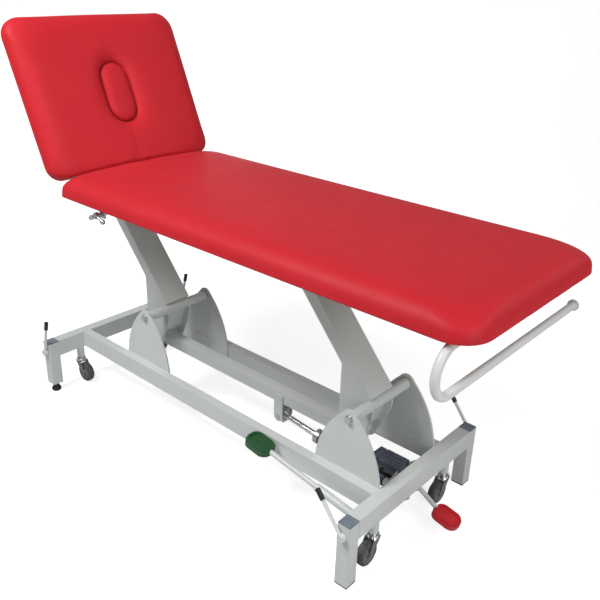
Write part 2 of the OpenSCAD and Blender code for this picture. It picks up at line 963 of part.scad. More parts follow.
// Hairpin tube: upper leg in its socket, half-circle, lower leg with an end flange
module paper_bar() {
    socket_z = paper_top_z();
    bend = (socket_z - bar_z) / 2;
    bend_y = -279;
    end_y = 362;
    color([0.88, 0.89, 0.88])
        translate([bar_x, 0, 0]) {
            for (d = [[socket_z, 0], [bar_z, end_y]])
                difference() {
                    ycyl(0, d[0], bar_d, bend_y, d[1]);
                    ycyl(0, d[0], bar_d - 4, bend_y - 1, d[1] + 1);
                }
            ycyl(0, bar_z, 32, end_y, end_y + 5);
            translate([0, bend_y, bar_z + bend])
                rotate([90, 0, -90])
                    rotate([0, 0, -90])
                        rotate_extrude(angle = 180)
                            translate([bend, 0])
                                difference() {
                                    circle(d = bar_d, $fn = 48);
                                    circle(d = bar_d - 4, $fn = 48);
                                }
        }
}

// Hinge bolts of the backrest and the lower bolt of the gas spring
module frame_bolts() {
    color(steel) {
        both_sides()
            translate([hinge_x, 0, hinge_z]) {
                ycyl(0, 0, hinge_d, hinge_y, hinge_y + 2 * plate + 6);
                ycyl(0, 0, 11, hinge_y - 4, hinge_y);
                ycyl(0, 0, 11, hinge_y + 2 * plate + 2, hinge_y + 2 * plate + 6);
            }
        ycyl(gas_x, gas_z, gas_pin, gas_y - 18, gas_y + 18);
        ycyl(gas_x, gas_z, 14, gas_y - 22, gas_y - 18);
        ycyl(gas_x, gas_z, 14, gas_y + 18, gas_y + 22);
    }
}

// Drooping wing handle on a cross shaft, with the small lever that pulls the cable
module release_handle() {
    color(steel) {
        ycyl(handle_x, handle_z, handle_shaft_d, -handle_y, cable_y + 3);
        ycyl(handle_x, handle_z, 20, -handle_y - 12, -handle_y);
        for (s = [-1, 1])
            translate([handle_x, -handle_y - 6, handle_z])
                rotate([0, s > 0 ? 24 : 156, 0]) {
                    xcyl(9, 4, 28);
                    translate([26, 0, 0])
                        rotate([0, 90, 0])
                            rotate_extrude()
                                polygon([[0, 0], [6, 0], [7.5, 3], [7.5, 9], [5, 13], [0, 13]]);
                }
        plate_y(cable_y - 3, cable_y + 3)
            translate([handle_x, handle_z])
                rotate(170) {
                    translate([0, -4])
                        square([22, 8]);
                    translate([22, 0])
                        circle(d = 11);
                }
    }
}

// Bowden cable from the release lever, through both rails, to the gas spring's lug
module release_cable() {
    turn_x = cable_x + cable_bend;
    color(black) {
        translate([turn_x, cable_y, cable_z])
            xcyl(cable_d, 0, handle_x - 32 - turn_x);
        translate([turn_x, cable_y + cable_bend, cable_z])
            rotate([0, 0, 180])
                quarter_cable(cable_bend);
        ycyl(cable_x, cable_z, cable_d, cable_y + cable_bend, cable_end_y - cable_end_bend);
        translate([cable_x + cable_end_bend, cable_end_y - cable_end_bend, cable_z])
            rotate([0, 0, 90])
                quarter_cable(cable_end_bend);
        translate([cable_x + cable_end_bend, cable_end_y, cable_z])
            xcyl(cable_d, 0, gas_x - 9 - cable_x - cable_end_bend);
    }
}

// Quarter bend of the cable in the XY plane around the origin
module quarter_cable(bend) {
    rotate_extrude(angle = 90)
        translate([bend, 0])
            circle(d = cable_d, $fn = 24);
}

// ---------- backrest ----------

// Turns a shape modelled flat into the raised pose
module raised() {
    translate([hinge_x, 0, hinge_z])
        rotate([0, back_angle, 0])
            translate([-hinge_x, 0, -hinge_z])
                children();
}

module back_outline(inset) {
    pad_outline(back_x0 + inset, back_x1 - inset, pad_w - 2 * inset, back_r - inset, back_r2 - inset);
}

module backrest_frame() {
    tube_x1 = back_x1 - 8;
    color(paint)
        raised()
            difference() {
                union() {
                    both_sides() {
                        box([back_cross_x[0], back_rail_y, under_z - cross_t],
                            [tube_x1, back_rail_y + cross_w, under_z]);
                        translate([hinge_x, 0, hinge_z])
                            plate_y(hinge_y + plate + 1, hinge_y + 2 * plate + 1)
                                backrest_arm_outline();
                    }
                    for (x = back_cross_x)
                        box([x, -back_rail_y - 1, under_z - cross_t],
                            [x + cross_w, back_rail_y + 1, under_z]);
                    // crank arm of the gas spring, hanging below the hinge
                    plate_y(gas_y + 10, gas_y + 16) {
                        polygon([[tube_x1 - 40, under_z], [tube_x1 - 40, under_z - cross_t],
                            [hinge_x - gas_q - 13, hinge_z - gas_d - 6],
                            [hinge_x - gas_q + 9, hinge_z - gas_d + 11], [tube_x1, under_z]]);
                        translate([hinge_x - gas_q, hinge_z - gas_d])
                            circle(r = 14);
                    }
                    box([tube_x1 - 40, gas_y + 10, under_z - cross_t], [tube_x1, back_rail_y + 1, under_z]);
                }
                translate([hinge_x, 0, hinge_z])
                    ycyl(-gas_q, -gas_d, gas_pin, gas_y, gas_y + 20);
                for (x = back_cross_x, s = [-1, 1])
                    translate([x + cross_w / 2, s * back_screw_y, under_z - cross_t - 1])
                        cylinder(d = screw_d, h = cross_t + 2);
            }
}

module backrest_arm_outline() {
    difference() {
        union() {
            polygon([[-60, under_z - cross_t - hinge_z], [5, under_z - cross_t - hinge_z], [5, 0],
                [-5, 0], [-5, under_z - hinge_z - 0.5], [-60, under_z - hinge_z - 0.5]]);
            circle(r = knuckle_r);
        }
        circle(d = hinge_d + run);
    }
}

module backrest_board() {
    color(wood)
        raised()
            difference() {
                translate([0, 0, under_z])
                    linear_extrude(board_t)
                        difference() {
                            back_outline(board_inset);
                            translate([plug_x, 0])
                                stadium(plug_len + 2 * hole_gap, plug_w + 2 * hole_gap);
                        }
                for (x = back_cross_x, s = [-1, 1])
                    translate([x + cross_w / 2, s * back_screw_y, under_z - 1])
                        cylinder(d = screw_d, h = screw_bite + 1);
            }
}

module backrest_pad() {
    color(red)
        raised()
            difference() {
                translate([0, 0, under_z])
                    linear_extrude(pad_t)
                        difference() {
                            back_outline(0);
                            translate([plug_x, 0])
                                stadium(plug_len + 2 * hole_gap, plug_w + 2 * hole_gap);
                        }
                translate([0, 0, under_z - 1])
                    linear_extrude(board_t + 1)
                        back_outline(board_inset);
                both_sides()
                    box([back_x1 - 3, notch_y0, under_z - 1],
                        [back_x1 + 1, notch_y1, hinge_z + knuckle_r + 3]);
                edge_waste(back_x1);
            }
}

module backrest_screws() {
    color(steel)
        raised()
            for (x = back_cross_x, s = [-1, 1])
                translate([x + cross_w / 2, s * back_screw_y, under_z - cross_t])
                    screw();
}

module gas_upper_bolt() {
    color(steel)
        raised()
            translate([hinge_x - gas_q, 0, hinge_z - gas_d]) {
                ycyl(0, 0, gas_pin, gas_y - 13, gas_y + 16);
                ycyl(0, 0, 14, gas_y + 16, gas_y + 21);
                ycyl(0, 0, 14, gas_y - 13, gas_y - 8);
                ycyl(0, 0, gas_slot_d + 10, gas_y - 8, gas_y - 6);
                ycyl(0, 0, gas_slot_d + 10, gas_y + 6, gas_y + 8);
                ycyl(0, 0, 14, gas_y + 8, gas_y + 10);
            }
}

// Padded plug of the breathing hole
module face_plug() {
    color(plug_red)
        raised()
            translate([plug_x, 0, under_z + 2])
                linear_extrude(pad_t - 4)
                    stadium(plug_len, plug_w);
}

// Places a shape built along +X onto the gas spring's line
module on_gas() {
    translate([gas_x, gas_y, gas_z])
        rotate([0, 180 + gas_angle, 0])
            children();
}

module gas_cylinder() {
    color(black)
        on_gas()
            difference() {
                union() {
                    xcyl(gas_tube_d, 16, gas_tube_len);
                    ycyl(0, 0, 18, -11.5, 11.5);
                    box([0, -6, -6], [18, 6, 6]);
                }
                ycyl(0, 0, gas_pin + run, -12, 12);
                xcyl(gas_rod_d + run, 30, gas_tube_len + 1);
            }
}

module gas_rod() {
    color([0.8, 0.81, 0.83])
        on_gas()
            difference() {
                union() {
                    xcyl(gas_rod_d, gas_rod_s, gas_reach - gas_slot_d / 2 - 3);
                    ycyl(gas_reach, 0, gas_slot_d + 12, -5, 5);
                }
                ycyl(gas_reach, 0, gas_slot_d, -6, 6);
            }
}

// ---------- castors ----------

// Cam whose flat follower moves in proportion to the turn: an involute of a small circle
function cam_h(a) = cam_r0 + cam_k * a * PI / 180;
module cam_outline() {
    circle(r = cam_r0);
    polygon(concat([[0, 0]],
        [for (a = [0 : 10 : lever_turn])
            [cam_h(a) * cos(a) - cam_k * sin(a), cam_h(a) * sin(a) + cam_k * cos(a)]]));
}

// Lever on the outer face of a leg, its shaft inside the beam and its cam over the stem
module lever(sx, sy) {
    lean = sx > 0 ? foot_lever_lean : head_lever_lean;
    color([0.86, 0.87, 0.87])
        scale_y(sy)
            translate([sx * castor_x, 0, lever_z]) {
                ycyl(0, 0, lever_d, castor_y - 20, leg_y + leg_sq / 2 + 1);
                ycyl(0, 0, 22, leg_y + leg_sq / 2 + 1, leg_y + leg_sq / 2 + 15);
                translate([0, leg_y + leg_sq / 2 + 8, 0])
                    rotate([0, -sx * lean, 0])
                        cylinder(d = 10, h = lever_len);
                scale([sx, 1, 1])
                    plate_y(castor_y - cam_t / 2, castor_y + cam_t / 2)
                        rotate(-90)
                            cam_outline();
            }
}
module lever_head_right() { lever(-1, -1); }
module lever_head_left() { lever(-1, 1); }
module lever_foot_right() { lever(1, -1); }
module lever_foot_left() { lever(1, 1); }

module grip(sx, sy) {
    lean = sx > 0 ? foot_lever_lean : head_lever_lean;
    color(black)
        scale_y(sy)
            translate([sx * castor_x, leg_y + leg_sq / 2 + 8, lever_z])
                rotate([0, -sx * lean, 0])
                    difference() {
                        translate([0, 0, lever_len - 22]) {
                            cylinder(d = 14, h = 30);
                            translate([0, 0, 30])
                                cylinder(d = 10, h = 2);
                        }
                        cylinder(d = 10, h = lever_len);
                    }
}
module grip_head_right() { grip(-1, -1); }
module grip_head_left() { grip(-1, 1); }
module grip_foot_right() { grip(1, -1); }
module grip_foot_left() { grip(1, 1); }

module stem(sx, sy) {
    color(steel)
        translate([sx * castor_x, sy * castor_y, stem_z0])
            difference() {
                cylinder(d = stem_d, h = stem_top - stem_z0);
                translate([0, 0, -1])
                    cylinder(d = spigot_d + run, h = 39);
            }
}
module stem_head_right() { stem(-1, -1); }
module stem_head_left() { stem(-1, 1); }
module stem_foot_right() { stem(1, -1); }
module stem_foot_left() { stem(1, 1); }

// Swivel angle of a castor: the head ones trail to the foot, the foot ones to the right side
function swivel(sx) = sx > 0 ? -90 : 0;

module at_castor(sx, sy) {
    translate([sx * castor_x, sy * castor_y, 0])
        rotate([0, 0, swivel(sx)])
            children();
}

module fork(sx, sy) {
    fork_half = wheel_w / 2 + 2.5;
    crown_z = wheel_z + wheel_d / 2 + 2;
    color(castor_grey)
        at_castor(sx, sy) {
            translate([0, 0, ring_z0])
                cylinder(d = 34, h = 8);
            translate([0, 0, ring_z0 + 8])
                cylinder(d = spigot_d, h = 36);
            box([-14, -fork_half - 2.5, crown_z], [16, fork_half + 2.5, ring_z0]);
            both_sides()
                plate_y(fork_half, fork_half + 2.5)
                    difference() {
                        union() {
                            polygon([[-14, ring_z0], [trail - 9, wheel_z - 3],
                                [trail + 9, wheel_z + 2], [16, ring_z0]]);
                            translate([trail, wheel_z])
                                circle(r = 9);
                        }
                        translate([trail, wheel_z])
                            circle(d = axle_d);
                    }
            ycyl(trail, wheel_z, axle_d, -fork_half - 3, fork_half + 3);
            both_sides()
                ycyl(trail, wheel_z, 12, fork_half + 2.5, fork_half + 5);
        }
}
module fork_head_right() { fork(-1, -1); }
module fork_head_left() { fork(-1, 1); }
module fork_foot_right() { fork(1, -1); }
module fork_foot_left() { fork(1, 1); }

module wheel(sx, sy) {
    r = wheel_d / 2;
    h = wheel_w / 2;
    color([0.20, 0.20, 0.22])
        at_castor(sx, sy)
            translate([trail, 0, wheel_z])
                rotate([90, 0, 0])
                    rotate_extrude($fn = 64)
                        polygon([[axle_d / 2 + run / 2, -h - 1], [10, -h - 1], [12, -h + 3],
                            [24, -h + 3], [26, -h], [r - 4, -h], [r - 1, -h + 3], [r, -h + 8],
                            [r, h - 8], [r - 1, h - 3], [r - 4, h], [26, h], [24, h - 3],
                            [12, h - 3], [10, h + 1], [axle_d / 2 + run / 2, h + 1]]);
}
module wheel_head_right() { wheel(-1, -1); }
module wheel_head_left() { wheel(-1, 1); }
module wheel_foot_right() { wheel(1, -1); }
module wheel_foot_left() { wheel(1, 1); }

// ---------- parts drawn ----------

base_frame();
leg_caps();
leg_glides();
pivot_bolts();
pump_block();
pump_hose();
levelling_foot_right();
levelling_foot_left();
head_arm();
head_arm_bushes();
head_link_pin();
foot_arm();
foot_arm_bushes();
foot_link_pin();
link_bar();
clevis_pin();
pump_cylinder();
pump_gland();
piston_rod();
pump_pedal();
pump_pedal_pad();
release_pedal();
release_pedal_pad();
top_frame();
top_pins();
main_board();
main_pad();
board_screws();
paper_bar();
frame_bolts();
release_handle();
release_cable();
backrest_frame();
backrest_board();
backrest_pad();
backrest_screws();
gas_upper_bolt();
face_plug();
gas_cylinder();
gas_rod();
lever_head_right();
lever_head_left();
lever_foot_right();
lever_foot_left();
grip_head_right();
grip_head_left();
grip_foot_right();
grip_foot_left();
stem_head_right();
stem_head_left();
stem_foot_right();
stem_foot_left();
fork_head_right();
fork_head_left();
fork_foot_right();
fork_foot_left();
wheel_head_right();
wheel_head_left();
wheel_foot_right();
wheel_foot_left();
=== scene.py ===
import json
import math
import random

import bpy
import numpy as np
from mathutils import Matrix, Vector


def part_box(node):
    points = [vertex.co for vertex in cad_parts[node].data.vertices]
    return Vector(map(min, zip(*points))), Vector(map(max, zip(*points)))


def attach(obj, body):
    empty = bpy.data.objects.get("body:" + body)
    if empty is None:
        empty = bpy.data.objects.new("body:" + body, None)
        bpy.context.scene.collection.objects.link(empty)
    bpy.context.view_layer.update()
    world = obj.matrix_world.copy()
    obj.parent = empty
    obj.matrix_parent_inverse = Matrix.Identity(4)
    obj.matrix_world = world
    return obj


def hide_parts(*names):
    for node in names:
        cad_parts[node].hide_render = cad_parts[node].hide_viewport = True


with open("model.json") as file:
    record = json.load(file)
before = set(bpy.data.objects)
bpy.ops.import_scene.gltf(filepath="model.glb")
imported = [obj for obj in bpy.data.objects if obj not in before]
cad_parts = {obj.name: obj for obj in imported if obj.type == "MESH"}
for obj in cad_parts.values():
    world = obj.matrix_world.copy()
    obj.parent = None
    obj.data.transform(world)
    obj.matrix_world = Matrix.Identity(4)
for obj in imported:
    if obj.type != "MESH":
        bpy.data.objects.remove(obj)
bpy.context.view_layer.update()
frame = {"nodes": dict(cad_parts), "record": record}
nodes = frame["nodes"]
joints = {j["name"]: j for j in frame["record"]["behaviour"]["joints"]}
random.seed(7)
MM = 0.001


# ---------------------------------------------------------------- materials
class Net:
    """Builds a node tree with short calls."""

    def __init__(self, name):
        self.material = bpy.data.materials.new(name)
        self.material.use_nodes = True
        self.tree = self.material.node_tree
        self.shader = self.tree.nodes["Principled BSDF"]
        self.coords = self.add("ShaderNodeTexCoord").outputs["Object"]

    def add(self, kind, **props):
        n = self.tree.nodes.new(kind)
        for k, v in props.items():
            setattr(n, k, v)
        return n

    def link(self, a, b):
        self.tree.links.new(a, b)

    def put(self, node, key, value):
        if isinstance(value, bpy.types.NodeSocket):
            self.link(value, node.inputs[key])
        else:
            node.inputs[key].default_value = value

    def scaled(self, sx, sy, sz):
        n = self.add("ShaderNodeMapping")
        self.link(self.coords, n.inputs["Vector"])
        n.inputs["Scale"].default_value = (sx, sy, sz)
        return n.outputs["Vector"]

    def noise(self, scale, detail=3.0, rough=0.55, vec=None, dist=0.0):
        n = self.add("ShaderNodeTexNoise")
        self.link(vec or self.coords, n.inputs["Vector"])
        n.inputs["Scale"].default_value = scale
        n.inputs["Detail"].default_value = detail
        n.inputs["Roughness"].default_value = rough
        n.inputs["Distortion"].default_value = dist
        return n.outputs["Fac"]

    def cells(self, scale, feature):
        n = self.add("ShaderNodeTexVoronoi", feature=feature)
        self.link(self.coords, n.inputs["Vector"])
        n.inputs["Scale"].default_value = scale
        return n.outputs["Distance"]

    def wave(self, scale, direction, dist):
        n = self.add("ShaderNodeTexWave", bands_direction=direction)
        self.link(self.coords, n.inputs["Vector"])
        n.inputs["Scale"].default_value = scale
        n.inputs["Distortion"].default_value = dist
        n.inputs["Detail"].default_value = 1.0
        return n.outputs["Fac"]

    def remap(self, v, a, b, c, d):
        """Maps the range from a to b on to the range from c to d."""
        n = self.add("ShaderNodeMapRange")
        self.put(n, 0, v)
        for i, x in enumerate((a, b, c, d)):
            n.inputs[i + 1].default_value = x
        return n.outputs[0]

    def math(self, op, a, b=0.0, clamp=False):
        n = self.add("ShaderNodeMath", operation=op, use_clamp=clamp)
        self.put(n, 0, a)
        self.put(n, 1, b)
        return n.outputs[0]

    def mix(self, fac, a, b):
        n = self.add("ShaderNodeMix", data_type="RGBA")
        self.put(n, 0, fac)
        for i, v in ((6, a), (7, b)):
            self.put(n, i, v if isinstance(v, bpy.types.NodeSocket) else (*v, 1.0))
        return n.outputs[2]

    def axis(self, k):
        n = self.add("ShaderNodeSeparateXYZ")
        self.link(self.coords, n.inputs[0])
        return n.outputs[k]

    def edges(self, radius):
        """(rounded normal, mask that is 1 on sharp edges)."""
        bev = self.add("ShaderNodeBevel", samples=4)
        bev.inputs["Radius"].default_value = radius
        geo = self.add("ShaderNodeNewGeometry")
        dot = self.add("ShaderNodeVectorMath", operation="DOT_PRODUCT")
        self.link(bev.outputs[0], dot.inputs[0])
        self.link(geo.outputs["Normal"], dot.inputs[1])
        return bev.outputs[0], self.remap(dot.outputs["Value"], 0.99, 0.8, 0.0, 1.0)

    def bump(self, height, strength, distance, normal=None):
        n = self.add("ShaderNodeBump")
        self.put(n, "Strength", strength)
        n.inputs["Distance"].default_value = distance
        self.put(n, "Height", height)
        if normal is not None:
            self.link(normal, n.inputs["Normal"])
        return n.outputs[0]

    def finish(self, color, rough, normal=None, **more):
        if not isinstance(color, bpy.types.NodeSocket):
            color = (*color, 1.0)
        self.put(self.shader, "Base Color", color)
        self.put(self.shader, "Roughness", rough)
        if normal is not None:
            self.link(normal, self.shader.inputs["Normal"])
        for k, v in more.items():
            self.put(self.shader, k.replace("_", " "), v)
        return self.material


DUST = (0.30, 0.29, 0.27)


def shade(color, factor, lift=0.0):
    """The color made lighter or darker."""
    return [min(1, x * factor + lift) for x in color]


def paint(name, base, rough=0.36, radius=1.6):
    """Powder coat: orange peel, slight cloudiness, rubbed edges and a little dust low down."""
    n = Net(name)
    normal, edge = n.edges(radius * MM)
    cloud = n.noise(5.0, 4.0)
    low = n.remap(n.axis(2), 0.0, 0.22, 1.0, 0.0)
    grime = n.math("MULTIPLY", n.remap(n.noise(22.0, 6.0, 0.65), 0.52, 0.75, 0.0, 0.20), low, True)
    c = n.mix(n.remap(cloud, 0.3, 0.7, 0.0, 1.0), shade(base, 0.965), shade(base, 1.03))
    c = n.mix(grime, c, DUST)
    scuff = n.math("MULTIPLY", edge, n.remap(n.noise(60.0, 5.0), 0.50, 0.66, 0.0, 0.35), True)
    c = n.mix(scuff, c, shade(base, 0.62))
    peel = n.noise(750.0, 2.0, 0.5)
    r = n.remap(n.noise(35.0, 4.0), 0.25, 0.75, rough - 0.05, rough + 0.09)
    return n.finish(c, r, n.bump(peel, 0.12, 0.0004, normal), Coat_Weight=0.08, Coat_Roughness=0.25)


def metal(name, base, rough):
    """Plated or polished steel with fine drawing marks and faint smudges."""
    n = Net(name)
    normal, edge = n.edges(0.6 * MM)
    marks = n.noise(1.0, 4.0, 0.6, n.scaled(900, 900, 60))
    smudge = n.noise(28.0, 4.0)
    worn = n.remap(smudge, 0.3, 0.7, rough * 0.75, rough * 1.35)
    r = n.math("ADD", worn, n.remap(marks, 0.3, 0.7, -0.03, 0.05))
    c = n.mix(n.remap(marks, 0.35, 0.65, 0.0, 0.35), base, shade(base, 0.78))
    c = n.mix(n.math("MULTIPLY", edge, 0.35), c, shade(base, 1.12))
    return n.finish(c, r, n.bump(marks, 0.10, 0.0002, normal), Metallic=1.0)


def plastic(name, base, rough, grain=1400.0, strength=0.25):
    """Moulded plastic or rubber with a fine spark-eroded grain and rubbed corners."""
    n = Net(name)
    normal, edge = n.edges(0.8 * MM)
    g = n.noise(grain, 2.0, 0.6)
    c = n.mix(n.remap(n.noise(30.0, 4.0), 0.3, 0.7, 0.0, 1.0), shade(base, 0.85), shade(base, 1.15, 0.003))
    c = n.mix(n.math("MULTIPLY", edge, 0.30), c, shade(base, 1.6, 0.012))
    r = n.remap(n.noise(50.0, 3.0), 0.3, 0.7, rough - 0.07, rough + 0.08)
    return n.finish(c, r, n.bump(g, strength, 0.0003, normal))


def upholstery(name, base, light):
    """Coated upholstery fabric over foam: pebbled grain with painted shade in its creases, faint pull lines
    and soft undulation.
    """
    n = Net(name)
    warp = n.noise(7.0, 3.0)
    pebble = n.cells(620.0, "SMOOTH_F1")
    crease = n.cells(360.0, "DISTANCE_TO_EDGE")
    grain = n.math("ADD", n.math("MULTIPLY", pebble, 0.7), n.math("MULTIPLY", crease, 0.5))
    fine = n.noise(1900.0, 2.0)
    h = n.math("ADD", grain, n.math("MULTIPLY", fine, 0.25))
    soft = n.bump(n.noise(5.0, 2.0, 0.45), 0.05, 0.006)
    pull = n.bump(n.noise(26.0, 4.0, 0.5, n.scaled(1.0, 2.2, 1.0)), 0.05, 0.0012, soft)
    normal = n.bump(h, 0.20, 0.0005, pull)
    c = n.mix(n.remap(warp, 0.3, 0.7, 0.0, 1.0), shade(base, 0.965), shade(base, 1.03))
    # painted shade: the grain's creases are darkened towards a deep red
    c = n.mix(n.remap(crease, 0.0, 0.10, 0.28, 0.0), c, shade(base, 0.55))
    c = n.mix(n.remap(n.noise(900.0, 2.0), 0.55, 0.8, 0.0, 0.10), c, light)
    r = n.remap(n.noise(18.0, 4.0), 0.3, 0.7, 0.49, 0.56)
    return n.finish(c, r, normal, Sheen_Weight=0.05, Sheen_Roughness=0.4,
                    Sheen_Tint=(1.0, 0.62, 0.66, 1.0), Specular_IOR_Level=0.18)


def plywood(name, base):
    """Board with long grain, pores and faint plies on its edges."""
    n = Net(name)
    rings = n.noise(9.0, 6.0, 0.6, n.scaled(0.35, 6.0, 6.0), 0.8)
    pores = n.noise(420.0, 3.0, 0.6, n.scaled(0.12, 1.0, 1.0))
    plies = n.wave(95.0, "Z", 0.6)
    c = n.mix(n.remap(rings, 0.3, 0.7, 0.0, 1.0), base, shade(base, 0.68))
    c = n.mix(n.remap(plies, 0.4, 0.6, 0.0, 0.22), c, shade(base, 0.5))
    c = n.mix(n.remap(pores, 0.55, 0.7, 0.0, 0.3), c, shade(base, 0.45))
    return n.finish(c, 0.62, n.bump(pores, 0.3, 0.0004))


def fork_finish(name, base, z0, z1):
    """Stamped grey fork whose bearing ring between two heights is chromed."""
    n = Net(name)
    normal, edge = n.edges(0.5 * MM)
    z = n.axis(2)
    ring = n.math("MULTIPLY", n.math("GREATER_THAN", z, z0), n.math("LESS_THAN", z, z1))
    marks = n.noise(160.0, 4.0)
    c = n.mix(n.remap(marks, 0.3, 0.7, 0.0, 1.0), shade(base, 0.8), shade(base, 1.2))
    c = n.mix(n.math("MULTIPLY", edge, 0.5), c, (0.5, 0.5, 0.52))
    c = n.mix(ring, c, (0.86, 0.87, 0.9))
    r = n.math("SUBTRACT", n.remap(marks, 0.3, 0.7, 0.30, 0.45), n.math("MULTIPLY", ring, 0.24), True)
    n.put(n.shader, "Metallic", n.math("MAXIMUM", ring, 0.55))
    return n.finish(c, r, n.bump(marks, 0.10, 0.0002, normal))


TYRE_FROM = 0.385               # radius where the tyre starts, as a share of the wheel's box


def wheel_finish(name, plane):
    """Dark tyre outside, lighter hub disc inside, told apart by radius across the wheel's own box."""
    n = Net(name)
    normal, edge = n.edges(0.6 * MM)
    gen = n.add("ShaderNodeTexCoord").outputs["Generated"]
    sep = n.add("ShaderNodeSeparateXYZ")
    n.link(gen, sep.inputs[0])
    a = n.math("SUBTRACT", sep.outputs[plane[0]], 0.5)
    b = n.math("SUBTRACT", sep.outputs[plane[1]], 0.5)
    r = n.math("SQRT", n.math("ADD", n.math("MULTIPLY", a, a), n.math("MULTIPLY", b, b)))
    tyre = n.math("GREATER_THAN", r, TYRE_FROM)
    groove = n.math("COMPARE", r, TYRE_FROM)
    groove.node.inputs[2].default_value = 0.008
    dust = n.remap(n.noise(90.0, 5.0), 0.45, 0.75, 0.0, 0.35)
    c = n.mix(tyre, (0.150, 0.158, 0.162), (0.052, 0.053, 0.056))
    c = n.mix(groove, c, (0.012, 0.012, 0.012))
    c = n.mix(n.math("MULTIPLY", dust, tyre), c, (0.20, 0.195, 0.185))
    rough = n.math("ADD", n.remap(dust, 0.0, 0.35, 0.38, 0.55), n.math("MULTIPLY", tyre, 0.12))
    return n.finish(c, rough, n.bump(n.noise(700.0, 2.0), 0.2, 0.0003, normal))


RED = (0.545, 0.0180, 0.0265)
PLUG_RED = (0.530, 0.0175, 0.0285)
RING_LOW, RING_HIGH = 0.0838, 0.0922    # the castors' chromed bearing ring, in metres above the floor
mats = {
    "frame_paint": paint("frame_paint", (0.60, 0.635, 0.625)),
    "castor_paint": fork_finish("castor_paint", (0.24, 0.25, 0.26), RING_LOW, RING_HIGH),
    "cap_plastic": plastic("cap_plastic", (0.165, 0.198, 0.245), 0.46),
    "black_plastic": plastic("black_plastic", (0.012, 0.012, 0.014), 0.42),
    "bearing_plastic": plastic("bearing_plastic", (0.020, 0.020, 0.022), 0.38),
    "pin_black": plastic("pin_black", (0.020, 0.021, 0.026), 0.34),
    "pump_paint": paint("pump_paint", (0.085, 0.097, 0.135), 0.40, 1.0),
    "zinc_steel": metal("zinc_steel", (0.60, 0.61, 0.62), 0.30),
    "chrome": metal("chrome", (0.80, 0.81, 0.83), 0.12),
    "hose_rubber": plastic("hose_rubber", (0.012, 0.012, 0.013), 0.55),
    "wheel_x": wheel_finish("wheel_x", (1, 2)),
    "wheel_y": wheel_finish("wheel_y", (0, 2)),
    "pedal_green": plastic("pedal_green", (0.018, 0.092, 0.030), 0.44, 900.0, 0.35),
    "pedal_red": plastic("pedal_red", (0.46, 0.010, 0.016), 0.36, 900.0, 0.3),
    "upholstery_red": upholstery("upholstery_red", RED, (0.72, 0.08, 0.09)),
    "plug_red": upholstery("plug_red", PLUG_RED, (0.70, 0.07, 0.08)),
    "board_wood": plywood("board_wood", (0.56, 0.38, 0.20)),
    "bar_paint": paint("bar_paint", (0.68, 0.70, 0.70), 0.33),
    "gas_black": paint("gas_black", (0.018, 0.018, 0.020), 0.30, 0.6),
}
slot_of = {s["node"]: s["material_slot"] for s in frame["record"]["subparts"]}
for name, ob in nodes.items():
    finish = slot_of[name]
    if finish == "wheel_rubber":
        finish = "wheel_x" if "foot" in name else "wheel_y"
    elif name.startswith("lever_"):
        finish = "bar_paint"
    ob.data.materials.clear()
    ob.data.materials.append(mats[finish])


# ---------------------------------------------------------------- mesh helpers
def new_object(name, verts, faces, material, body, slot):
    """New smooth mesh that rides on a body."""
    me = bpy.data.meshes.new(name)
    me.from_pydata([tuple(v) for v in verts], [], faces)
    me.validate()
    ob = bpy.data.objects.new(name, me)
    bpy.context.scene.collection.objects.link(ob)
    me.materials.append(mats[material])
    me.shade_smooth()
    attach(ob, body)
    return ob


def settle(ob):
    """Turns the object's modifiers into mesh."""
    me = bpy.data.meshes.new_from_object(ob.evaluated_get(bpy.context.evaluated_depsgraph_get()))
    ob.modifiers.clear()
    ob.data = me
    me.shade_smooth()


SIDE, END, CORNER = 90, 34, 14      # segments along a side, an end and a corner of a pad's outline
BACK_SIDE = 44                  # segments along a side of the shorter backrest's cover


def outline(x0, x1, hw, r0, r1, d0, d1, d, steps=SIDE):
    """Rectangle inset by d0, d1 and d at its ends and sides; its corners grow rounder as it is inset."""
    lip = 6 * MM
    grow = 1.5 * max(0.0, d - lip) - min(d, lip)
    x0, x1, hw = x0 + d0, x1 - d1, hw - d
    most = min(hw, (x1 - x0) / 2) * 0.96
    r0, r1 = min(r0 + grow, most), min(r1 + grow, most)
    arcs = []
    for cx, cy, r, a in ((x1 - r1, hw - r1, r1, 0), (x0 + r0, hw - r0, r0, 90),
                         (x0 + r0, -hw + r0, r0, 180), (x1 - r1, -hw + r1, r1, 270)):
        turns = [math.radians(a + 90 * k / CORNER) for k in range(CORNER + 1)]
        arcs.append([(cx + r * math.cos(t), cy + r * math.sin(t)) for t in turns])
    pts = []
    for i, arc in enumerate(arcs):
        p, q, m = arc[-1], arcs[(i + 1) % 4][0], (steps, END)[i % 2]
        pts += arc + [(p[0] + (q[0] - p[0]) * k / m, p[1] + (q[1] - p[1]) * k / m) for k in range(1, m)]
    return pts


def loft(rings, loop=False, end=END):
    """Joins rings of points. A loop closes on itself; otherwise strips across Y cap both ends.

    end is the number of segments between a ring's last mirrored point and its first.
    """
    n = len(rings[0])
    verts = [p for r in rings for p in r]
    pairs = [(i, i + 1) for i in range(len(rings) - 1)]
    if loop:
        pairs.append((len(rings) - 1, 0))
    faces = [(a * n + k, a * n + (k + 1) % n, b * n + (k + 1) % n, b * n + k)
             for a, b in pairs for k in range(n)]
    if loop:
        return verts, faces
    turn = n - end                  # point k mirrors to point turn - k across the centre plane
    for base, flip in ((0, True), ((len(rings) - 1) * n, False)):
        for k in range((turn - n) // 2, turn // 2):
            q = [k % n, (k + 1) % n, (turn - k - 1) % n, (turn - k) % n]
            q = [base + i for i in dict.fromkeys(q)]
            if len(q) > 2:
                faces.append(tuple(q[::-1] if flip else q))
    return verts, faces


